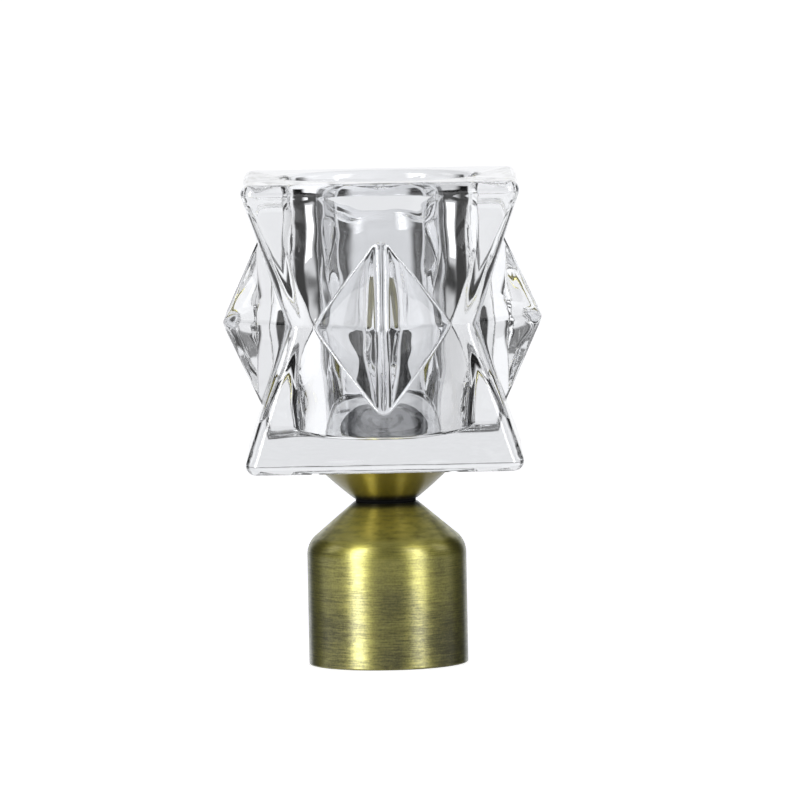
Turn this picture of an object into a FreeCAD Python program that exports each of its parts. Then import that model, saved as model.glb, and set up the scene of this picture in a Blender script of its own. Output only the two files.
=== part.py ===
import FreeCAD
import Part

import math
import os

# Curtain pole finial: a pressed glass head bonded to a brass seat, screwed to a brass pole collar.
# Frame: millimetres, +Z up along the pole's axis, origin at the centre of the collar's mouth.
# The head's four faces look along X and Y, and the grub screw is on the +Y side.

# Pole collar
POLE_DIAMETER = 28.0        # the pole that the collar takes
POLE_CLEARANCE = 0.2        # gap all round the pole
SOCKET_DEPTH = 21.5         # how far the pole goes in
SOCKET_LEAD_IN = 0.5        # chamfer at the mouth
POLE_LEDGE = 2.4            # width of the ledge that the pole's end meets
COLLAR_WALL = 1.8           # round the socket
COLLAR_CROWN = 3.6          # thickness that the joining screw goes through
COLLAR_FOOT_ROUND = 0.35    # outer edge at the mouth
SHOULDER_RISE = 8.1         # height of the cone, from its corner with the cylinder up to the neck
SHOULDER_ROUND = 5.0        # radius of the soft shoulder
CHAMBER_STRAIGHT = 2.5      # straight wall above the ledge, before the roof slopes in
NECK_DIAMETER = 12.9        # where the collar and the seat face each other

# Joining screw and its washers
SCREW_DIAMETER = 6.0
SCREW_HEAD_DIAMETER = 12.0
SCREW_HEAD_HEIGHT = 4.0
SCREW_HEAD_ROUND = 1.8
SCREW_POINT = 0.6           # chamfer at the screw's end
SCREW_ENGAGEMENT = 4.4      # length inside the seat
SCREW_HEAD_CLEARANCE = 1.9  # from the pole's end to the screw's head
CROSS_LENGTH = 6.4          # cross recess in the head
CROSS_WIDTH = 1.2
CROSS_DEPTH = 2.2
THREAD_CLEARANCE = 0.05     # between a plain shank and its tapped hole, which stand for the thread
SHANK_CLEARANCE = 0.3       # between the shank and the holes that it passes through
HEAD_MARGIN = 1.2           # free ring round the screw's head
SPRING_WASHER_THICKNESS = 1.6
SPRING_WASHER_WIDTH = 2.4   # of the ring's section
SPRING_WASHER_SPLIT = 0.6   # gap of the split
NECK_WASHER_THICKNESS = 0.8
NECK_WASHER_INSET = 0.4     # the washer's edge lies this far inside the neck

# Grub screw
GRUB_DIAMETER = 4.0
GRUB_LENGTH = 3.5
GRUB_HEIGHT = 10.0          # of its axis above the mouth
GRUB_BACK_OFF = 0.1         # its point stays this far out of the socket
GRUB_POINT = 0.4            # chamfer at its point
GRUB_HEX = 2.0              # across the flats of its key socket
GRUB_HEX_DEPTH = 1.5

# Head seat
SEAT_DIAMETER = 27.6        # flat top that the glass is bonded to
SEAT_RISE = 6.55            # height of the bowl
SEAT_BULGE = 0.15           # how far the bowl's side swells out of a straight cone
SEAT_RIM = 0.4              # straight edge above the bowl
TAPPED_SPARE = 0.5          # tapped hole beyond the screw's end

# Glass head
GLASS_WIDTH = 56.8          # across the faces at top and bottom, to the sharp edges
GLASS_HEIGHT = 57.85
WAIST_WIDTH = 37.6          # across the faces at half height, where they are drawn in
CORNER_ROUND = 3.0          # upright corners
EDGE_ROUND = 1.9            # edges of the top and the bottom
DIAMOND_WIDTH = 27.8        # raised diamond, from tip to tip
DIAMOND_HEIGHT = 36.5
DIAMOND_RELIEF = 14.4       # its sharp peak would stand this far out of the waist
DIAMOND_ROOT = 0.04         # share of its flanks that runs on under the face
RIDGE_ROUND = 2.2           # the diamond's upright ridges
HOLLOW_WALL = 4.4           # from the hollow to the diamond's side tips
HOLLOW_DRAFT = 1.4          # degrees: the hollow opens towards the top
HOLLOW_RIM_ROUND = 1.2
HOLLOW_FLOOR_ROUND = 1.0
FLOOR_THICKNESS = 5.2

# Places worked out from the sizes above
SOCKET_RADIUS = POLE_DIAMETER / 2 + POLE_CLEARANCE
COLLAR_RADIUS = SOCKET_RADIUS + COLLAR_WALL
CHAMBER_RADIUS = SOCKET_RADIUS - POLE_LEDGE
NECK_RADIUS = NECK_DIAMETER / 2
SEAT_RADIUS = SEAT_DIAMETER / 2
SCREW_RADIUS = SCREW_DIAMETER / 2
TAPPED_RADIUS = SCREW_RADIUS + THREAD_CLEARANCE
SHANK_HOLE_RADIUS = SCREW_RADIUS + SHANK_CLEARANCE
HEAD_RADIUS = SCREW_HEAD_DIAMETER / 2
HEAD_BOTTOM = SOCKET_DEPTH + SCREW_HEAD_CLEARANCE
HEAD_TOP = HEAD_BOTTOM + SCREW_HEAD_HEIGHT
CHAMBER_TOP = HEAD_TOP + SPRING_WASHER_THICKNESS
COLLAR_TOP = CHAMBER_TOP + COLLAR_CROWN
SHOULDER_CORNER = COLLAR_TOP - SHOULDER_RISE
SEAT_BOTTOM = COLLAR_TOP + NECK_WASHER_THICKNESS
SCREW_END = SEAT_BOTTOM + SCREW_ENGAGEMENT
GLASS_BOTTOM = SEAT_BOTTOM + SEAT_RISE + SEAT_RIM
GLASS_TOP = GLASS_BOTTOM + GLASS_HEIGHT
WAIST = GLASS_BOTTOM + GLASS_HEIGHT / 2
HOLLOW_FLOOR = GLASS_BOTTOM + FLOOR_THICKNESS
WAIST_FACE = WAIST_WIDTH / 2
HOLLOW_WAIST_RADIUS = math.hypot(DIAMOND_WIDTH / 2, WAIST_FACE) - HOLLOW_WALL

ORIGIN = FreeCAD.Vector(0, 0, 0)
UP = FreeCAD.Vector(0, 0, 1)
BACK = FreeCAD.Vector(0, 1, 0)
PAST = 1.0                  # how far a cutter runs past the face that it opens
SAME = 1e-4                 # two lengths closer than this are equal


def turned(profile):
    """A solid of revolution about Z from its half section, a list of (radius, height)."""
    points = [FreeCAD.Vector(radius, 0, height) for radius, height in profile]
    face = Part.Face(Part.makePolygon(points + points[:1]))
    return face.revolve(ORIGIN, UP, 360)


def ring_edges(solid, radius, height):
    """The solid's circular edges of that radius about Z, at that height."""
    found = []
    for edge in solid.Edges:
        if not edge.Closed or not isinstance(edge.Curve, Part.Circle):
            continue
        centre = edge.Curve.Center
        on_axis = math.hypot(centre.x, centre.y) < SAME
        if on_axis and abs(edge.Curve.Radius - radius) < SAME and abs(centre.z - height) < SAME:
            found.append(edge)
    return found


def cylinder(radius, bottom, top):
    """A plain cylinder about Z."""
    return Part.makeCylinder(radius, top - bottom, FreeCAD.Vector(0, 0, bottom))


def pole_collar():
    """Bell-shaped collar: socket, ledge, screw chamber, crown and neck face."""
    body = turned([
        (SOCKET_RADIUS + SOCKET_LEAD_IN, 0),
        (COLLAR_RADIUS, 0),
        (COLLAR_RADIUS, SHOULDER_CORNER),
        (NECK_RADIUS, COLLAR_TOP),
        (SHANK_HOLE_RADIUS, COLLAR_TOP),
        (SHANK_HOLE_RADIUS, CHAMBER_TOP),
        (HEAD_RADIUS + HEAD_MARGIN, CHAMBER_TOP),
        (CHAMBER_RADIUS, SOCKET_DEPTH + CHAMBER_STRAIGHT),
        (CHAMBER_RADIUS, SOCKET_DEPTH),
        (SOCKET_RADIUS, SOCKET_DEPTH),
        (SOCKET_RADIUS, SOCKET_LEAD_IN),
    ])
    body = body.makeFillet(SHOULDER_ROUND, ring_edges(body, COLLAR_RADIUS, SHOULDER_CORNER))
    body = body.makeFillet(COLLAR_FOOT_ROUND, ring_edges(body, COLLAR_RADIUS, 0))
    grub_axis = FreeCAD.Vector(0, SOCKET_RADIUS - COLLAR_WALL, GRUB_HEIGHT)
    return body.cut(Part.makeCylinder(
        GRUB_DIAMETER / 2 + THREAD_CLEARANCE, 2 * COLLAR_WALL + PAST, grub_axis, BACK))


def grub_screw():
    """Set screw through the collar's back, backed off until its point is clear of the pole."""
    point = FreeCAD.Vector(0, SOCKET_RADIUS + GRUB_BACK_OFF, GRUB_HEIGHT)
    end = point + BACK * GRUB_LENGTH
    screw = Part.makeCylinder(GRUB_DIAMETER / 2, GRUB_LENGTH, point, BACK)
    point_edge = [edge for edge in screw.Edges if edge.CenterOfMass.y < point.y + SAME]
    screw = screw.makeChamfer(GRUB_POINT, point_edge)
    key_radius = GRUB_HEX / 2 / math.cos(math.pi / 6)
    corners = []
    for sixth in range(7):
        angle = sixth * math.pi / 3
        across = FreeCAD.Vector(math.cos(angle), 0, math.sin(angle)) * key_radius
        corners.append(end - BACK * GRUB_HEX_DEPTH + across)
    key = Part.Face(Part.makePolygon(corners)).extrude(BACK * (GRUB_HEX_DEPTH + PAST))
    return screw.cut(key)


def joining_screw():
    """Pan-head screw from inside the collar up into the seat, with a cross recess in its head."""
    screw = turned([
        (0, HEAD_BOTTOM),
        (HEAD_RADIUS, HEAD_BOTTOM),
        (HEAD_RADIUS, HEAD_TOP),
        (SCREW_RADIUS, HEAD_TOP),
        (SCREW_RADIUS, SCREW_END - SCREW_POINT),
        (SCREW_RADIUS - SCREW_POINT, SCREW_END),
        (0, SCREW_END),
    ])
    screw = screw.makeFillet(SCREW_HEAD_ROUND, ring_edges(screw, HEAD_RADIUS, HEAD_BOTTOM))
    for length, width in ((CROSS_LENGTH, CROSS_WIDTH), (CROSS_WIDTH, CROSS_LENGTH)):
        corner = FreeCAD.Vector(-length / 2, -width / 2, HEAD_BOTTOM - PAST)
        screw = screw.cut(Part.makeBox(length, width, CROSS_DEPTH + PAST, corner))
    return screw


def spring_washer():
    """Split washer, pressed flat under the screw's head."""
    outer = SHANK_HOLE_RADIUS + SPRING_WASHER_WIDTH
    ring = cylinder(outer, HEAD_TOP, CHAMBER_TOP).cut(cylinder(SHANK_HOLE_RADIUS, HEAD_TOP, CHAMBER_TOP))
    corner = FreeCAD.Vector(0, -SPRING_WASHER_SPLIT / 2, HEAD_TOP)
    return ring.cut(Part.makeBox(outer + PAST, SPRING_WASHER_SPLIT, SPRING_WASHER_THICKNESS, corner))


def neck_washer():
    """Black washer between the collar and the seat."""
    outer = NECK_RADIUS - NECK_WASHER_INSET
    hole = cylinder(SHANK_HOLE_RADIUS, COLLAR_TOP, SEAT_BOTTOM)
    return cylinder(outer, COLLAR_TOP, SEAT_BOTTOM).cut(hole)


def head_seat():
    """Bowl that carries the glass on its flat top, tapped from below for the joining screw."""
    bowl_top = SEAT_BOTTOM + SEAT_RISE
    tapped_end = SCREW_END + TAPPED_SPARE
    foot = FreeCAD.Vector(NECK_RADIUS, 0, SEAT_BOTTOM)
    lip = FreeCAD.Vector(SEAT_RADIUS, 0, bowl_top)
    chord = lip - foot
    outwards = FreeCAD.Vector(chord.z, 0, -chord.x).normalize()
    swell = (foot + lip) * 0.5 + outwards * SEAT_BULGE
    side = Part.Arc(foot, swell, lip).toShape()
    rest = Part.makePolygon([lip] + [FreeCAD.Vector(radius, 0, height) for radius, height in (
        (SEAT_RADIUS, GLASS_BOTTOM),
        (0, GLASS_BOTTOM),
        (0, tapped_end),
        (TAPPED_RADIUS, tapped_end),
        (TAPPED_RADIUS, SEAT_BOTTOM),
    )] + [foot])
    return Part.Face(Part.Wire([side] + rest.Edges)).revolve(ORIGIN, UP, 360)


def square(width, height):
    """A square wire about Z, with its sides along X and Y."""
    half = width / 2
    corners = [(-half, -half), (half, -half), (half, half), (-half, half), (-half, -half)]
    return Part.makePolygon([FreeCAD.Vector(x, y, height) for x, y in corners])


def flared_half(end_height):
    """Half of the block: four flat faces from the waist out to one end, with rounded edges."""
    half = Part.makeLoft([square(WAIST_WIDTH, WAIST), square(GLASS_WIDTH, end_height)], True, True)
    middle = (WAIST + end_height) / 2
    half = half.makeFillet(CORNER_ROUND, [e for e in half.Edges if abs(e.CenterOfMass.z - middle) < SAME])
    return half.makeFillet(EDGE_ROUND, [e for e in half.Edges if abs(e.CenterOfMass.z - end_height) < SAME])


def half_diamond(end_height):
    """Upper or lower half of the diamond on the -Y face: a wedge with a round ridge, run up to its tip."""
    run = (end_height - WAIST) / (GLASS_HEIGHT / 2) * DIAMOND_HEIGHT / 2
    tip_face = WAIST_FACE + (GLASS_WIDTH - WAIST_WIDTH) / GLASS_HEIGHT * DIAMOND_HEIGHT / 2
    peak = FreeCAD.Vector(0, -WAIST_FACE - DIAMOND_RELIEF, WAIST)
    tip = FreeCAD.Vector(0, -tip_face, WAIST + run)
    flank = math.hypot(DIAMOND_WIDTH / 2, DIAMOND_RELIEF)
    sine = DIAMOND_WIDTH / 2 / flank
    cosine = DIAMOND_RELIEF / flank
    right = FreeCAD.Vector(sine, cosine, 0)
    left = FreeCAD.Vector(-sine, cosine, 0)
    round_from = RIDGE_ROUND * cosine / sine
    nose = peak + BACK * (RIDGE_ROUND / sine - RIDGE_ROUND)
    root = flank * (1 + DIAMOND_ROOT)
    arc = Part.Arc(peak + left * round_from, nose, peak + right * round_from).toShape()
    rest = Part.makePolygon([
        peak + right * round_from, peak + right * root, peak + left * root, peak + left * round_from])
    section = Part.Face(Part.Wire([arc] + rest.Edges))
    return section.extrude((tip - peak) * (1 + DIAMOND_ROOT))


def hollow():
    """The round hollow, open at the top and drawn in slightly towards its floor."""
    floor_radius = hollow_radius(HOLLOW_FLOOR)
    above = GLASS_TOP + PAST
    core = turned([
        (0, HOLLOW_FLOOR),
        (floor_radius, HOLLOW_FLOOR),
        (hollow_radius(above), above),
        (0, above),
    ])
    return core.makeFillet(HOLLOW_FLOOR_ROUND, ring_edges(core, floor_radius, HOLLOW_FLOOR))


def hollow_radius(height):
    """Radius of the hollow's drafted wall at that height."""
    return HOLLOW_WAIST_RADIUS + math.tan(math.radians(HOLLOW_DRAFT)) * (height - WAIST)


def glass_head():
    """Pressed glass block with a diamond on each face and an open hollow."""
    added = [flared_half(GLASS_BOTTOM)]
    for end_height in (GLASS_BOTTOM, GLASS_TOP):
        front = half_diamond(end_height)
        for quarter in range(4):
            added.append(front.rotated(ORIGIN, UP, 90 * quarter))
    block = flared_half(GLASS_TOP).fuse(added).removeSplitter()
    glass = block.cut(hollow())
    return glass.makeFillet(HOLLOW_RIM_ROUND, ring_edges(glass, hollow_radius(GLASS_TOP), GLASS_TOP))


PIECES = {
    "glass_head": glass_head,
    "head_seat": head_seat,
    "neck_washer": neck_washer,
    "pole_collar": pole_collar,
    "spring_washer": spring_washer,
    "joining_screw": joining_screw,
    "grub_screw": grub_screw,
}

os.makedirs("parts", exist_ok=True)
for name, make in PIECES.items():
    shape = make()
    print(name, "valid", shape.isValid(), "solids", len(shape.Solids), "volume", round(shape.Volume, 1))
    shape.exportStep(os.path.join("parts", name + ".step"))
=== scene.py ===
import math

import bpy
from bpy.props import FloatProperty, FloatVectorProperty, PointerProperty
from mathutils import Euler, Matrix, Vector


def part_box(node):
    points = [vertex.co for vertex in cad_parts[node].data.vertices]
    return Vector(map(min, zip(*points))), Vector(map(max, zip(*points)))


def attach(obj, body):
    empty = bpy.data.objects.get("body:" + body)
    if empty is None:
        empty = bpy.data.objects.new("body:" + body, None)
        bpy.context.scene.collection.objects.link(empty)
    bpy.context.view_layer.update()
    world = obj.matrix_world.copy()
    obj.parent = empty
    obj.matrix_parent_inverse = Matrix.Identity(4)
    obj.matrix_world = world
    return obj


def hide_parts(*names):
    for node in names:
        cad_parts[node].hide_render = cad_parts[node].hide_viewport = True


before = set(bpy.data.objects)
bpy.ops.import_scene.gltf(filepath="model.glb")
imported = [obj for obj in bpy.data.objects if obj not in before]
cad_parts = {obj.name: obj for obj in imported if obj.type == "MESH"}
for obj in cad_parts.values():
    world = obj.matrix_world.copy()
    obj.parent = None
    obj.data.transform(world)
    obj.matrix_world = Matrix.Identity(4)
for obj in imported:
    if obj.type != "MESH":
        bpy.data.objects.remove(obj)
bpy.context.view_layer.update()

bl_info = {
    "name": "Curtain pole finial",
    "version": (1, 0, 0),
    "blender": (4, 5, 0),
    "location": "3D View > Sidebar > Finial",
    "description": "Dresses a glass and brass curtain pole finial and its studio",
    "category": "Object",
}

GLASS_LOW, GLASS_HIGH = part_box("glass_head")
SEAT_LOW, SEAT_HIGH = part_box("head_seat")
WASHER_LOW, WASHER_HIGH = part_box("neck_washer")
COLLAR_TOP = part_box("pole_collar")[1][2]
GLASS_RISE = GLASS_HIGH[2] - GLASS_LOW[2]
WAIST_HEIGHT = (GLASS_LOW[2] + GLASS_HIGH[2]) / 2
NECK_HEIGHT = (WASHER_LOW[2] + WASHER_HIGH[2]) / 2
MM = 0.001

# The glass stands this far off the seat, so that no two faces lie in one plane.
SEAT_GAP = 0.05 * MM

# Points across half a side: on the diamond's round ridge, its flank, its crease and the face beyond.
SIDE_STEPS = (6, 12, 10, 12)
CORNER_STEPS = 8
FACE_ROWS = 84
EDGE_ROWS = 10
ARC_STEPS = 8
WALL_STEPS = 32

# Half widths of the close points on a ridge and along a crease, and their largest shares of the way to the
# crease. Then the least way to a crease, the space kept beside a corner, and how the points spread beyond
# the diamond's tips.
RIDGE_BAND = 1.7 * MM
RIDGE_SHARE = 0.4
CREASE_BAND = 1.0 * MM
CREASE_SHARE = 0.3
LEAST_CREASE = 3.0 * MM
CORNER_MARGIN = 1.5 * MM
TIP_SPREAD = 1.2

# Brightness of the studio round the finial, before the stage's own brightness.
DARK_SIDES = 0.01
BACKDROP = 1.2
BACKDROP_FALL = 0.9
ROOM_IN_FRONT = 0.25
ZENITH = 0.1
TABLE = 1.3
TABLE_LEAN = 0.35

# Edges of the studio's parts, from where each starts to where it is full, in degrees of turn or rise.
BACKDROP_SIDES = (38.0, 26.0)
ROOM_SIDES = (116.0, 132.0)
ROOM_FOOT = (2.0, 12.0)
OVERHEAD_FOOT = (28.0, 42.0)
OVERHEAD_TOP = (80.0, 66.0)
ZENITH_EDGE = (62.0, 76.0)
TABLE_EDGE = (0.0, -1.5)
TABLE_NEAR = (-9.0, -13.0)
TABLE_FRONT = (62.0, 80.0)

# The lit sweep of the table widens by this much for each step down, with an edge this soft.
SWEEP_SPREAD = 3.6
SWEEP_EDGE = (-0.04, 0.04)

# Each panel of light: its turn from straight behind the finial to the right, half width, softness of its
# sides, lowest and highest rise, all in degrees, and its brightness. Soft boxes are panels that only the
# brass mirrors.
PANELS = (
    (-86.0, 12.0, 4.0, 7.0, 40.0, 0.9),
    (86.0, 12.0, 4.0, 7.0, 40.0, 0.85),
)
SOFTBOXES = {
    "left_softbox": (-136.0, 9.0, 8.0, -11.0, 44.0, 20.0),
    "right_softbox": (134.0, 9.0, 8.0, -11.0, 44.0, 11.5),
}
# Degrees over which a panel fades either side of its foot and its top, and how far off the soft boxes stand.
PANEL_FADE = 3.0
SOFTBOX_REACH = 1.5
SOFTBOX_ROWS = 24
SOFTBOX_COLUMNS = 8

# Each side window: its side, left or right, and its brightness.
WINDOWS = {"left_window": (-1, 1.6), "right_window": (1, 1.3)}
WINDOW_WIDTH = 0.16
WINDOW_HEIGHT = 0.28
WINDOW_SILL = 0.19
WINDOW_REACH = 0.5
WINDOW_SET_BACK = 0.02

FLOOR_SIZE = 8.0
SENSOR_WIDTH = 36.0
LIGHT_BOUNCES = 24
GLOSSY_BOUNCES = 12
BLACK = (0.0, 0.0, 0.0, 1.0)


class GlassSettings(bpy.types.PropertyGroup):
    """Sizes and colours of the pressed glass head."""

    width: FloatProperty(
        name="Width", description="Across the faces at top and bottom, to the sharp edges",
        default=56.8 * MM, unit="LENGTH")
    waist: FloatProperty(
        name="Waist", description="Across the faces at half height", default=37.6 * MM, unit="LENGTH")
    waist_round: FloatProperty(
        name="Waist rounding", description="Softness of the hollow where the faces meet at half height",
        default=0.8 * MM, unit="LENGTH")
    corner_round: FloatProperty(
        name="Corner rounding", description="Radius of the upright corners", default=3.0 * MM, unit="LENGTH")
    edge_round: FloatProperty(
        name="Edge rounding", description="Radius of the top and bottom edges",
        default=1.9 * MM, unit="LENGTH")
    diamond_width: FloatProperty(
        name="Diamond width", description="From side tip to side tip", default=27.8 * MM, unit="LENGTH")
    diamond_height: FloatProperty(
        name="Diamond height", description="From lower tip to upper tip", default=36.5 * MM, unit="LENGTH")
    diamond_relief: FloatProperty(
        name="Diamond relief", description="How far the sharp peak would stand out of the waist",
        default=14.4 * MM, unit="LENGTH")
    ridge_round: FloatProperty(
        name="Ridge rounding", description="Radius of the diamonds' upright ridges",
        default=2.2 * MM, unit="LENGTH")
    crest_round: FloatProperty(
        name="Crest rounding", description="Softness of the diamonds' level ridges",
        default=0.6 * MM, unit="LENGTH")
    crease_round: FloatProperty(
        name="Crease rounding", description="Depth over which a diamond runs into its face",
        default=0.5 * MM, unit="LENGTH")
    well_top: FloatProperty(
        name="Well radius at the top", description="Before its rim is rounded",
        default=19.69 * MM, unit="LENGTH")
    well_floor: FloatProperty(
        name="Well radius at the floor", description="Before its corner is rounded",
        default=18.40 * MM, unit="LENGTH")
    well_belly: FloatProperty(
        name="Well belly", description="How far the fire-polished wall swells above and below the waist",
        default=0.5 * MM, unit="LENGTH")
    floor_thickness: FloatProperty(
        name="Floor", description="Thickness under the well", default=5.2 * MM, unit="LENGTH")
    well_rim_round: FloatProperty(
        name="Well rim rounding", description="Radius of the well's rim", default=1.2 * MM, unit="LENGTH")
    well_floor_round: FloatProperty(
        name="Well floor rounding", description="Radius of the well's floor corner",
        default=1.0 * MM, unit="LENGTH")
    clear: FloatVectorProperty(
        name="Clear", description="Colour of the clearest glass", default=(0.86, 0.866, 0.88),
        subtype="COLOR", min=0.0, max=1.0)
    deep: FloatVectorProperty(
        name="Deep", description="Colour of the glass where it is greyest", default=(0.82, 0.828, 0.845),
        subtype="COLOR", min=0.0, max=1.0)


class BrassSettings(bpy.types.PropertyGroup):
    """Finish of the collar and the seat."""

    metal: FloatVectorProperty(
        name="Metal", description="Colour of the worn brass", default=(0.30, 0.28, 0.056),
        subtype="COLOR", min=0.0, max=1.0)
    patina: FloatVectorProperty(
        name="Patina", description="Colour of the browned brass", default=(0.06, 0.055, 0.011),
        subtype="COLOR", min=0.0, max=1.0)
    # Painted highlight: the bright colour of the sheen painted on the collar's cone.
    cone_sheen: FloatVectorProperty(
        name="Rubbed", description="Colour of the collar's cone, where the patina is rubbed back",
        default=(0.66, 0.585, 0.125), subtype="COLOR", min=0.0, max=1.0)
    seat: FloatVectorProperty(
        name="Seat", description="Colour of the browner seat", default=(0.17, 0.13, 0.013),
        subtype="COLOR", min=0.0, max=1.0)
    # Painted shade: the near-black colour painted round the neck, where the glass head and the seat shade
    # the collar.
    neck_shade: FloatVectorProperty(
        name="Grime", description="Colour of the dirt round the neck", default=(0.01, 0.009, 0.006),
        subtype="COLOR", min=0.0, max=1.0)
    roughness: FloatProperty(
        name="Roughness", description="Mean roughness of the brushed metal", default=0.40, min=0.0, max=1.0)
    glue: FloatVectorProperty(
        name="Glue", description="Colour of the glue where it lies thick on the seat",
        default=(0.94, 0.94, 0.95), subtype="COLOR", min=0.0, max=1.0)
    # Painted shade: the near-black colour where the glue wets the seat's top, standing in for the darkness
    # seen through the bond.
    wetted_shade: FloatVectorProperty(
        name="Wetted seat", description="Colour of the seat's top where the glue wets it",
        default=(0.004, 0.004, 0.004), subtype="COLOR", min=0.0, max=1.0)
    bare: FloatVectorProperty(
        name="Bare seat", description="Colour of the seat's top outside the glue",
        default=(0.62, 0.63, 0.64), subtype="COLOR", min=0.0, max=1.0)


class FixingSettings(bpy.types.PropertyGroup):
    """Colours of the washers and the screws."""

    rubber: FloatVectorProperty(
        name="Neck washer", description="Colour of the neck washer", default=(0.003, 0.003, 0.003),
        subtype="COLOR", min=0.0, max=1.0)
    zinc: FloatVectorProperty(
        name="Zinc", description="Colour of the joining screw and its spring washer",
        default=(0.60, 0.62, 0.64), subtype="COLOR", min=0.0, max=1.0)
    blacked: FloatVectorProperty(
        name="Grub screw", description="Colour of the blacked grub screw", default=(0.035, 0.034, 0.036),
        subtype="COLOR", min=0.0, max=1.0)


class StageSettings(bpy.types.PropertyGroup):
    """Camera, floor and lights."""

    floor_colour: FloatVectorProperty(
        name="Floor", description="Colour of the floor", default=(0.88, 0.88, 0.89), subtype="COLOR",
        min=0.0, max=1.0)
    light_colour: FloatVectorProperty(
        name="Light", description="Colour of the studio light", default=(0.985, 0.99, 1.0), subtype="COLOR",
        min=0.0, max=1.0)
    brightness: FloatProperty(
        name="Brightness", description="Strength of the studio light", default=0.8, min=0.0)
    table_light: FloatProperty(
        name="Table light", description="Light that comes up through the floor", default=0.95, min=0.0)
    distance: FloatProperty(
        name="Camera distance", description="From the camera to the point it looks at",
        default=2.2, unit="LENGTH")
    elevation: FloatProperty(
        name="Camera elevation", description="Angle of the camera above level", default=math.radians(4.5),
        subtype="ANGLE")
    roll: FloatProperty(
        name="Camera roll", description="Turn of the camera about its own axis", default=math.radians(-1.1),
        subtype="ANGLE")
    target: FloatVectorProperty(
        name="Target", description="Point at the middle of the picture",
        default=(3.24 * MM, 0.0, 52.94 * MM), subtype="XYZ", unit="LENGTH")
    frame_width: FloatProperty(
        name="Frame width", description="Width of the picture at the target",
        default=160.7 * MM, unit="LENGTH")


class Signal:
    """One output of a shader tree. Arithmetic on signals and numbers adds Math nodes."""

    def __init__(self, socket):
        self.socket = socket

    def node(self, kind, settings=None, output=0, **inputs):
        """Adds a node: its type, its settings, then the values or links of its sockets."""
        return add_node(self.socket.id_data, kind, settings, output, **inputs)

    def math(self, operation, other=0.0):
        """This signal through a Math node, with another signal or number where it needs two."""
        return self.node("ShaderNodeMath", {"operation": operation}, in0=self, in1=other)

    def __add__(self, other):
        return self.math("ADD", other)

    __radd__ = __add__

    def __sub__(self, other):
        return self.math("SUBTRACT", other)

    def __rsub__(self, other):
        return self.node("ShaderNodeMath", {"operation": "SUBTRACT"}, in0=other, in1=self)

    def __mul__(self, other):
        return self.math("MULTIPLY", other)

    __rmul__ = __mul__

    def __pow__(self, other):
        return self.math("POWER", other)

    def __abs__(self):
        return self.math("ABSOLUTE")

    def larger(self, other):
        """The larger of this signal and another."""
        return self.math("MAXIMUM", other)

    def step(self, low, high, start=0.0, end=1.0):
        """Goes softly from start to end as this signal goes from low to high."""
        return self.node(
            "ShaderNodeMapRange", {"interpolation_type": "SMOOTHSTEP"},
            in0=self, in1=low, in2=high, in3=start, in4=end)

    def parts(self):
        """The three numbers of a vector."""
        node = self.node("ShaderNodeSeparateXYZ", in0=self).socket.node
        return [Signal(socket) for socket in node.outputs]

    def noise(self, scale, detail=2.0):
        """Soft noise at these coordinates, about one half."""
        return self.node("ShaderNodeTexNoise", Vector=self, Scale=scale, Detail=detail)

    def mix(self, first, second):
        """A colour between two, by this signal."""
        return self.node("ShaderNodeMix", {"data_type": "RGBA"}, 2, in0=self, in6=first, in7=second)

    def bump(self, distance):
        """Normals of a surface that stands this signal times a distance proud."""
        return self.node("ShaderNodeBump", Height=self, Distance=distance)


def add_node(tree, kind, settings=None, output=0, **inputs):
    """Adds a node to a tree and gives its output as a signal. A socket is named, or numbered as in0."""
    node = tree.nodes.new(kind)
    for key, value in (settings or {}).items():
        setattr(node, key, value)
    for key, value in inputs.items():
        numbered = key.startswith("in") and key[2:].isdigit()
        socket = node.inputs[int(key[2:])] if numbered else node.inputs[key.replace("_", " ")]
        if isinstance(value, Signal):
            tree.links.new(value.socket, socket)
        else:
            socket.default_value = value
    return None if output is None else Signal(node.outputs[output])


def new_material(name):
    """A material with an empty tree, and that tree."""
    material = bpy.data.materials.new(name)
    material.use_nodes = True
    material.node_tree.nodes.clear()
    return material, material.node_tree


def object_point(tree):
    """The place on the piece, in metres."""
    return add_node(tree, "ShaderNodeTexCoord", output=3)


def surface_of(tree, **inputs):
    """Adds the surface shader with these sockets and links it to the material's output."""
    surface = add_node(tree, "ShaderNodeBsdfPrincipled", **inputs)
    add_node(tree, "ShaderNodeOutputMaterial", output=None, Surface=surface)


def solid(colour):
    """A colour with full alpha."""
    return (*colour, 1.0)


def link_mesh(name, mesh):
    """Links a mesh to the scene as an object of that name."""
    piece = bpy.data.objects.new(name, mesh)
    bpy.context.scene.collection.objects.link(piece)
    return piece


def glass_material(glass):
    """Clear pressed glass with the slight waves that the mould leaves."""
    material, tree = new_material("clear_pressed_glass")
    point = object_point(tree)
    waves = point.noise(95.0, 1.0)
    tint = point.noise(40.0).mix(solid(glass.clear), solid(glass.deep))
    surface_of(
        tree, Base_Color=tint, Roughness=0.0, IOR=1.52, Transmission_Weight=1.0,
        Normal=waves.bump(0.42 * MM))
    return material


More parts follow.
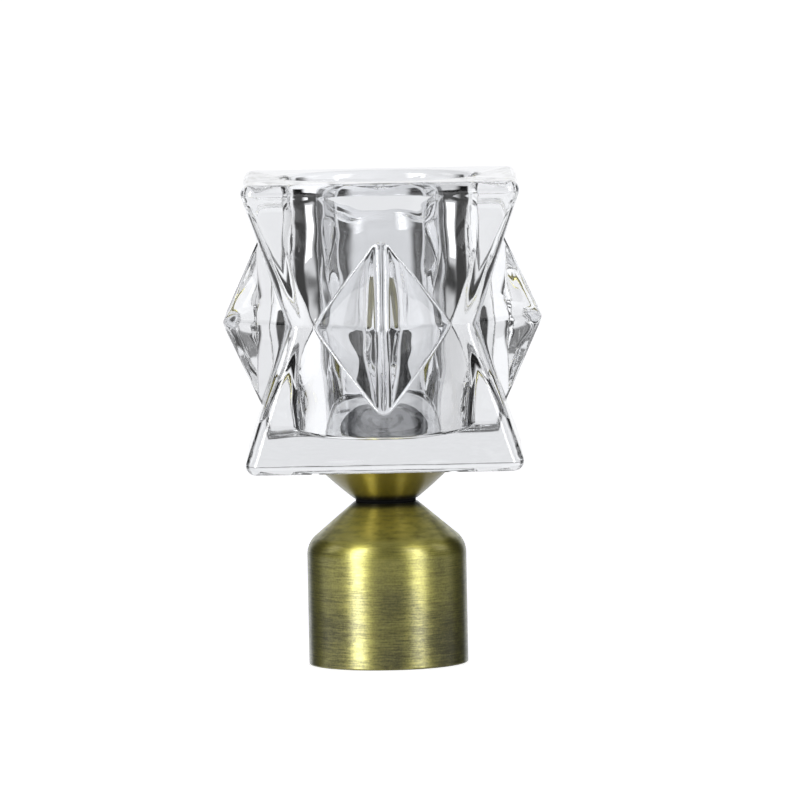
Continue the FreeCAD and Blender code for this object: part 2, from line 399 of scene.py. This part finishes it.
def brass_material(brass):
    """Brass brushed round its axis and browned in clouds and lines, with glue on the seat's top, a painted
    highlight on the collar's cone and painted shade round the neck.
    """
    material, tree = new_material("brushed_antique_brass")
    point = object_point(tree)
    x, y, z = point.parts()
    radius = (x * x + y * y) ** 0.5
    turned = (z + 0.6 * radius) * 4600.0

    def brushed(fineness, detail):
        """Noise drawn out into lines round the axis."""
        along = add_node(tree, "ShaderNodeCombineXYZ", in0=x * fineness, in1=y * fineness, in2=turned)
        return along.noise(1.0, detail)

    scratches = brushed(420.0, 2.0)
    lines = 0.4 * brushed(60.0, 3.0) + 0.6 * scratches
    clouds = point.noise(110.0, 3.0)
    grain = point.noise(2600.0)
    # Browns the brass a little more towards the bottom of the collar, so that it is darker there.
    worn = z.step(26.0 * MM, 2.0 * MM, 0.0, 0.14)
    browned = (0.5 * clouds + 0.65 * lines + 0.25 * grain + worn).step(0.48, 1.02)
    colour = browned.mix(solid(brass.metal), solid(brass.patina))
    # Painted highlight: the collar's cone is mixed in streaks towards a much brighter colour, a sheen that
    # the lighting does not give it.
    cone = z.step(COLLAR_TOP - 10.6 * MM, COLLAR_TOP - 4.1 * MM)
    cone = cone * z.step(COLLAR_TOP + 1.4 * MM, COLLAR_TOP - 0.6 * MM)
    cone_sheen = cone * lines.step(0.7, 0.35, 0.3, 0.85)
    colour = cone_sheen.mix(colour, solid(brass.cone_sheen))
    warm = z.step(SEAT_LOW[2] - 0.2 * MM, SEAT_LOW[2]) * lines.step(0.7, 0.35, 0.5, 0.9)
    colour = warm.mix(colour, solid(brass.seat))
    # Painted shade round the neck, darkest next to the washer and fading up and out.
    neck = abs(z - NECK_HEIGHT).step(0.6 * MM, 1.7 * MM, 0.92, 0.0)
    neck = neck * radius.step(7.8 * MM, 9.6 * MM, 1.0, 0.0)
    colour = neck.mix(colour, solid(brass.neck_shade))
    roughness = (0.5 * clouds + 0.5 * lines).step(0.2, 0.8, brass.roughness - 0.06, brass.roughness + 0.10)
    metal = add_node(
        tree, "ShaderNodeBsdfPrincipled", Base_Color=colour, Metallic=1.0 - 0.25 * browned,
        Roughness=roughness, Anisotropic=0.55, Anisotropic_Rotation=0.25,
        Specular_Tint=(0.5, 0.54, 0.56, 1.0), Coat_Weight=scratches.step(0.65, 0.35, 0.6, 1.0),
        Coat_Roughness=0.24, Normal=(lines + 0.3 * grain).bump(0.012 * MM))

    rings = add_node(tree, "ShaderNodeCombineXYZ", in0=radius * 420.0, in1=x * 110.0, in2=y * 110.0)
    # The glue on the seat's top is real; its near-black wetted parts are painted shade.
    glue = rings.noise(1.0, 3.0).step(0.4, 0.52).mix(solid(brass.wetted_shade), solid(brass.glue))
    covered = (radius + 6.0 * MM * clouds).step(15.0 * MM, 13.8 * MM)
    bond = add_node(
        tree, "ShaderNodeBsdfPrincipled", Base_Color=covered.mix(solid(brass.bare), glue), Roughness=1.0,
        Specular_IOR_Level=0.0)
    bonded = z.step(SEAT_HIGH[2] - 0.1 * MM, SEAT_HIGH[2] - 0.02 * MM)
    surface = add_node(tree, "ShaderNodeMixShader", in0=bonded, in1=metal, in2=bond)
    add_node(tree, "ShaderNodeOutputMaterial", output=None, Surface=surface)
    return material


def rubber_material(fixings):
    """Matt black rubber with a fine grain and a little dust."""
    material, tree = new_material("black_washer_rubber")
    grain = object_point(tree).noise(3000.0)
    dusty = tuple(value * 2.0 + 0.002 for value in fixings.rubber)
    surface_of(
        tree, Base_Color=grain.mix(solid(fixings.rubber), solid(dusty)),
        Roughness=grain.step(0.2, 0.8, 0.6, 0.8), Specular_IOR_Level=0.05,
        Normal=grain.bump(0.02 * MM))
    return material


def zinc_material(fixings):
    """Bright zinc plate with a faint crystal pattern."""
    material, tree = new_material("zinc_plated_steel")
    point = object_point(tree)
    crystals = point.node("ShaderNodeTexVoronoi", None, 1, Vector=point, Scale=900.0)
    shade = point.noise(400.0, 3.0)
    plate = 0.5 * crystals.parts()[0] + 0.5 * shade
    dull = tuple(value * 0.7 for value in fixings.zinc)
    surface_of(
        tree, Base_Color=plate.mix(solid(fixings.zinc), solid(dull)), Metallic=1.0,
        Roughness=plate.step(0.2, 0.8, 0.26, 0.42), Normal=shade.bump(0.01 * MM))
    return material


def blacked_material(fixings):
    """Steel blacked in a bath, worn a little paler in places."""
    material, tree = new_material("blacked_steel")
    grain = object_point(tree).noise(2200.0, 3.0)
    worn = tuple(value * 3.0 for value in fixings.blacked)
    surface_of(
        tree, Base_Color=grain.step(0.45, 0.8).mix(solid(fixings.blacked), solid(worn)), Metallic=0.9,
        Roughness=grain.step(0.2, 0.8, 0.35, 0.55), Normal=grain.bump(0.01 * MM))
    return material


def floor_material(stage):
    """A pale matt floor with light coming up through it."""
    material, tree = new_material("pale_floor")
    shade = object_point(tree).noise(3.0)
    colour = solid(stage.floor_colour)
    paler = tuple(min(1.0, value * 1.02) for value in stage.floor_colour)
    surface_of(
        tree, Base_Color=shade.mix(colour, solid(paler)), Roughness=0.9, Emission_Color=colour,
        Emission_Strength=stage.table_light)
    return material


def paint(node, material):
    """Gives a CAD node's object one material."""
    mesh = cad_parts[node].data
    mesh.materials.clear()
    mesh.materials.append(material)


def bearings(direction):
    """A direction's turn from straight behind the finial and its rise from level, in degrees."""
    x, y, z = direction.parts()
    return x.math("ARCTAN2", y).math("DEGREES"), z.math("ARCSINE").math("DEGREES")


def panel_glow(turn, rise, centre, half_width, soft, low, high):
    """How much of a panel's light comes from a direction: 1 within the panel, 0 outside it."""
    across = abs(turn - centre).step(half_width + soft, half_width - soft)
    foot = rise.step(low - PANEL_FADE, low + PANEL_FADE)
    return across * foot * rise.step(high + PANEL_FADE, high - PANEL_FADE)


def studio_world(stage):
    """Light all round the finial: a pale backdrop, dark sides with a panel each, and the table below."""
    world = bpy.data.worlds.new("studio")
    world.use_nodes = True
    tree = world.node_tree
    tree.nodes.clear()
    ray = add_node(tree, "ShaderNodeTexCoord", output=0)
    x, _, z = ray.parts()
    turn, rise = bearings(ray)
    aside = abs(turn)
    backdrop = aside.step(*BACKDROP_SIDES)
    room = aside.step(*ROOM_SIDES) * rise.step(*ROOM_FOOT)
    overhead = rise.step(*OVERHEAD_FOOT) * rise.step(*OVERHEAD_TOP)
    light = DARK_SIDES + backdrop * (BACKDROP - BACKDROP_FALL * overhead)
    light = light + ROOM_IN_FRONT * room + ZENITH * rise.step(*ZENITH_EDGE)
    sweep = (-SWEEP_SPREAD * z - abs(x)).step(*SWEEP_EDGE)
    lit = rise.step(*TABLE_NEAR).larger(sweep).larger(aside.step(*TABLE_FRONT)).larger(backdrop)
    table = lit * (TABLE - TABLE_LEAN * x)
    light = light + rise.step(*TABLE_EDGE) * (table - light)
    for *place, level in PANELS:
        light = light + panel_glow(turn, rise, *place) * (level - light)
    glow = add_node(
        tree, "ShaderNodeBackground", Color=solid(stage.light_colour), Strength=light * stage.brightness)
    add_node(tree, "ShaderNodeOutputWorld", output=None, Surface=glow)
    return world


def softbox_mesh(name, centre, half_width, soft, low, high):
    """A patch of a sphere round the finial, as large as a soft box with its soft edges."""
    points = []
    for row in range(SOFTBOX_ROWS + 1):
        share = row / SOFTBOX_ROWS
        rise = math.radians(low - PANEL_FADE + (high - low + 2 * PANEL_FADE) * share)
        level = SOFTBOX_REACH * math.cos(rise)
        for column in range(SOFTBOX_COLUMNS + 1):
            turn = math.radians(centre + (half_width + soft) * (2 * column / SOFTBOX_COLUMNS - 1))
            points.append((level * math.sin(turn), level * math.cos(turn), SOFTBOX_REACH * math.sin(rise)))
    across = SOFTBOX_COLUMNS + 1
    faces = []
    for start in range(0, SOFTBOX_ROWS * across, across):
        for step in range(start, start + SOFTBOX_COLUMNS):
            faces.append((step, step + 1, step + across + 1, step + across))
    mesh = bpy.data.meshes.new(name)
    mesh.from_pydata(points, [], faces)
    return mesh


def softbox(name, panel, stage):
    """A tall soft light in front of the finial, which only the brass mirrors."""
    *place, level = panel
    mesh = softbox_mesh(name, *place)
    material, tree = new_material(name)
    point = object_point(tree)
    turn, rise = bearings(point.node("ShaderNodeVectorMath", {"operation": "NORMALIZE"}, in0=point))
    glow = panel_glow(turn, rise, *place)
    surface_of(
        tree, Base_Color=BLACK, Specular_IOR_Level=0.0,
        Emission_Color=glow.mix(BLACK, solid(stage.light_colour)),
        Emission_Strength=level * stage.brightness)
    mesh.materials.append(material)
    box = link_mesh(name, mesh)
    box.visible_camera = False
    box.visible_diffuse = False
    box.visible_transmission = False
    box.visible_shadow = False


def side_window(name, side, strength):
    """A soft light beside the finial, seen as a bright window in the glass."""
    light = bpy.data.lights.new(name, "AREA")
    light.shape = "RECTANGLE"
    light.size = WINDOW_WIDTH
    light.size_y = WINDOW_HEIGHT
    light.energy = strength * math.pi * WINDOW_WIDTH * WINDOW_HEIGHT
    lamp = bpy.data.objects.new(name, light)
    lamp.location = (WINDOW_REACH * side, WINDOW_SET_BACK, WINDOW_SILL + WINDOW_HEIGHT / 2)
    lamp.rotation_euler = (math.pi / 2, 0.0, math.pi / 2 * side)
    bpy.context.scene.collection.objects.link(lamp)


def add_floor(stage):
    """The floor, hidden from mirrored and refracted rays, which see the world's table instead."""
    bpy.ops.mesh.primitive_plane_add(size=FLOOR_SIZE)
    floor = bpy.context.object
    floor.name = "floor"
    floor.data.materials.append(floor_material(stage))
    floor.visible_glossy = False
    floor.visible_transmission = False


def add_camera(stage):
    """The camera, far off with a long lens, a little above level."""
    camera = bpy.data.objects.new("camera", bpy.data.cameras.new("camera"))
    bpy.context.scene.collection.objects.link(camera)
    bpy.context.scene.camera = camera
    camera.data.sensor_width = SENSOR_WIDTH
    camera.data.lens = SENSOR_WIDTH * stage.distance / stage.frame_width
    camera.data.clip_end = 50.0
    away = Vector((0, -math.cos(stage.elevation), math.sin(stage.elevation)))
    camera.location = Vector(stage.target) + away * stage.distance
    aim = Euler((math.pi / 2 - stage.elevation, 0, 0)).to_matrix()
    roll = Euler((0, 0, stage.roll)).to_matrix()
    camera.rotation_euler = (aim @ roll).to_euler()


def soft_max(first, second, reach):
    """The larger of two numbers, with a smooth change where they are within a reach of each other."""
    lap = max(reach - abs(first - second), 0.0)
    return max(first, second) + lap * lap / (4 * reach)


def face_lean(glass):
    """How much a face comes out for each metre away from the waist."""
    return (glass.width - glass.waist) / GLASS_RISE


def diamond_fall(glass):
    """How much a diamond's level ridge loses for each metre away from the waist."""
    return 2 * glass.diamond_relief / glass.diamond_height - face_lean(glass)


def face_offset(glass, rise):
    """How far a face stands from the axis at a height above or below the waist."""
    return glass.waist / 2 + face_lean(glass) * math.hypot(rise, glass.waist_round)


def diamond_offset(glass, across, rise):
    """How far the flanks of a diamond stand from the axis, with a round nose along the upright ridge."""
    slope = 2 * glass.diamond_relief / glass.diamond_width
    slant = math.hypot(1.0, slope)
    nose = glass.ridge_round
    if abs(across) < nose * slope / slant:
        inward = nose * slant - math.sqrt(nose * nose - across * across)
    else:
        inward = slope * abs(across)
    fall = diamond_fall(glass) * math.hypot(rise, glass.crest_round)
    return glass.waist / 2 + glass.diamond_relief - inward - fall


def block_profile(glass, bottom, top):
    """The block's rows from its flat underside to its flat top: half width, height and corner radius."""
    lean = math.atan(face_lean(glass))
    edge = glass.edge_round
    set_back = edge / math.tan((math.pi / 2 - lean) / 2)
    centre = glass.width / 2 - set_back

    def half_rows(end):
        """The rows from the waist to one end."""
        reach = abs(end - WAIST_HEIGHT)
        side = 1 if end > WAIST_HEIGHT else -1
        straight = reach - set_back * math.cos(lean)
        rows = []
        for step in range(1, FACE_ROWS + 1):
            rise = straight * step / FACE_ROWS
            rows.append((face_offset(glass, rise), WAIST_HEIGHT + side * rise, glass.corner_round))
        for step in range(1, EDGE_ROWS + 1):
            angle = -lean + (math.pi / 2 + lean) * step / EDGE_ROWS
            half = centre + edge * math.cos(angle)
            height = WAIST_HEIGHT + side * (reach - edge + edge * math.sin(angle))
            drawn_in = max(0.0, centre + edge - half) if angle > 0 else 0.0
            rows.append((half, height, glass.corner_round - drawn_in))
        return rows

    middle = [(face_offset(glass, 0.0), WAIST_HEIGHT, glass.corner_round)]
    return half_rows(bottom)[::-1] + middle + half_rows(top)


def side_places(glass, half, flat, rise):
    """Places across one side of a row, closest together on the diamond's ridge and along its crease."""
    peak = glass.waist / 2 + glass.diamond_relief - diamond_fall(glass) * abs(rise)
    meets = (peak - half) * glass.diamond_width / (2 * glass.diamond_relief)
    past_tip = TIP_SPREAD * (abs(rise) - glass.diamond_height / 2)
    crease = min(max(meets, past_tip, LEAST_CREASE), flat - CORNER_MARGIN)
    band = min(CREASE_BAND, CREASE_SHARE * crease)
    stops = (0.0, min(RIDGE_BAND, RIDGE_SHARE * crease), crease - band, crease + band, flat)
    places = []
    for start, end, count in zip(stops, stops[1:], SIDE_STEPS):
        places += [start + (end - start) * step / count for step in range(1, count + 1)]
    return [-place for place in places[::-1]] + [0.0] + places


def block_row(glass, half, height, corner):
    """One row of points round the block, side by side and corner by corner."""
    rise = height - WAIST_HEIGHT
    flat = half - corner
    quarter = []
    for across in side_places(glass, half, flat, rise)[:-1]:
        quarter.append((across, soft_max(half, diamond_offset(glass, across, rise), glass.crease_round)))
    for step in range(CORNER_STEPS):
        angle = math.pi / 2 * step / CORNER_STEPS
        quarter.append((flat + corner * math.sin(angle), flat + corner * math.cos(angle)))
    row = []
    for cos, sin in ((1, 0), (0, 1), (-1, 0), (0, -1)):
        row += [(across * cos + out * sin, across * sin - out * cos, height) for across, out in quarter]
    return row


def well_profile(glass, bottom, top):
    """The well's half section from the rim in the top face down to its floor, as (radius, height)."""
    floor = bottom + glass.floor_thickness
    lean = math.atan2(glass.well_top - glass.well_floor, top - floor)
    points = []
    corner = glass.well_floor_round
    set_back = corner * math.tan((math.pi / 2 - lean) / 2)
    centre = (glass.well_floor - set_back, floor + corner)
    for step in range(ARC_STEPS + 1):
        angle = -math.pi / 2 + (math.pi / 2 - lean) * step / ARC_STEPS
        points.append((centre[0] + corner * math.cos(angle), centre[1] + corner * math.sin(angle)))
    low, high = floor + corner, top - glass.well_rim_round
    for step in range(1, WALL_STEPS):
        height = low + (high - low) * step / WALL_STEPS
        radius = glass.well_floor + (glass.well_top - glass.well_floor) * (height - floor) / (top - floor)
        swell = math.sin(2 * math.pi * step / WALL_STEPS) ** 2
        points.append((radius + glass.well_belly * swell, height))
    corner = glass.well_rim_round
    set_back = corner * math.tan((math.pi / 2 + lean) / 2)
    centre = (glass.well_top + set_back, top - corner)
    for step in range(ARC_STEPS + 1):
        angle = math.pi - lean - (math.pi / 2 - lean) * step / ARC_STEPS
        points.append((centre[0] + corner * math.cos(angle), centre[1] + corner * math.sin(angle)))
    return points[::-1]


def glass_mesh(glass):
    """The block from its underside up its faces, over the top and down the well, row by row."""
    bottom, top = GLASS_LOW[2] + SEAT_GAP, GLASS_HIGH[2]
    rows = [block_row(glass, *row) for row in block_profile(glass, bottom, top)]
    turns = [math.atan2(y, x) for x, y, _ in rows[-1]]
    for radius, height in well_profile(glass, bottom, top):
        rows.append([(radius * math.cos(turn), radius * math.sin(turn), height) for turn in turns])
    around = len(turns)
    faces = [list(range(around))[::-1]]
    for low in range(0, around * (len(rows) - 1), around):
        for step in range(around):
            there = (step + 1) % around
            faces.append((low + step, low + there, low + around + there, low + around + step))
    faces.append(range(around * (len(rows) - 1), around * len(rows)))
    mesh = bpy.data.meshes.new("glass_block")
    mesh.from_pydata([point for row in rows for point in row], [], faces)
    mesh.validate()
    mesh.shade_smooth()
    return mesh


class FINIAL_OT_glass_head(bpy.types.Operator):
    """Builds the pressed glass head with rounded edges"""

    bl_idname = "finial.glass_head"
    bl_label = "Glass head"

    def execute(self, context):
        glass = context.scene.finial_glass
        mesh = glass_mesh(glass)
        mesh.materials.append(glass_material(glass))
        piece = link_mesh("glass_block", mesh)
        normals = piece.modifiers.new("flat_faces", "WEIGHTED_NORMAL")
        normals.weight = 100
        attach(piece, "root")
        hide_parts("glass_head")
        return {"FINISHED"}


class FINIAL_OT_brass(bpy.types.Operator):
    """Finishes the pole collar and the head seat in brushed antique brass"""

    bl_idname = "finial.brass"
    bl_label = "Brass collar and seat"

    def execute(self, context):
        material = brass_material(context.scene.finial_brass)
        for node in ("pole_collar", "head_seat"):
            paint(node, material)
        return {"FINISHED"}


class FINIAL_OT_fixings(bpy.types.Operator):
    """Finishes the neck washer, the joining screw with its spring washer, and the grub screw"""

    bl_idname = "finial.fixings"
    bl_label = "Washers and screws"

    def execute(self, context):
        fixings = context.scene.finial_fixings
        paint("neck_washer", rubber_material(fixings))
        zinc = zinc_material(fixings)
        paint("joining_screw", zinc)
        paint("spring_washer", zinc)
        paint("grub_screw", blacked_material(fixings))
        return {"FINISHED"}


class FINIAL_OT_stage(bpy.types.Operator):
    """Sets up the floor, the lights and the camera"""

    bl_idname = "finial.stage"
    bl_label = "Stage"

    def execute(self, context):
        scene = context.scene
        stage = scene.finial_stage
        add_floor(stage)
        scene.world = studio_world(stage)
        for name, panel in SOFTBOXES.items():
            softbox(name, panel, stage)
        for name, (side, level) in WINDOWS.items():
            side_window(name, side, level * stage.brightness)
        scene.view_settings.view_transform = "Standard"
        scene.cycles.max_bounces = LIGHT_BOUNCES
        scene.cycles.transmission_bounces = LIGHT_BOUNCES
        scene.cycles.glossy_bounces = GLOSSY_BOUNCES
        add_camera(stage)
        return {"FINISHED"}


class FINIAL_PT_panel(bpy.types.Panel):
    """Lists the finial's pieces"""

    bl_label = "Finial"
    bl_space_type = "VIEW_3D"
    bl_region_type = "UI"
    bl_category = "Finial"

    def draw(self, context):
        for operator in OPERATORS:
            self.layout.operator(operator.bl_idname)


SETTINGS = {
    "finial_glass": GlassSettings,
    "finial_brass": BrassSettings,
    "finial_fixings": FixingSettings,
    "finial_stage": StageSettings,
}
OPERATORS = (FINIAL_OT_glass_head, FINIAL_OT_brass, FINIAL_OT_fixings, FINIAL_OT_stage)
CLASSES = (*SETTINGS.values(), *OPERATORS, FINIAL_PT_panel)


def register():
    """Registers the settings, the operators and the panel."""
    for item in CLASSES:
        bpy.utils.register_class(item)
    for name, group in SETTINGS.items():
        setattr(bpy.types.Scene, name, PointerProperty(type=group))


def unregister():
    """Takes the settings, the operators and the panel out again."""
    for name in SETTINGS:
        delattr(bpy.types.Scene, name)
    for item in reversed(CLASSES):
        bpy.utils.unregister_class(item)


def main():
    """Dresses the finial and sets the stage."""
    register()
    bpy.ops.finial.glass_head()
    bpy.ops.finial.brass()
    bpy.ops.finial.fixings()
    bpy.ops.finial.stage()


if __name__ == "__main__":
    main()
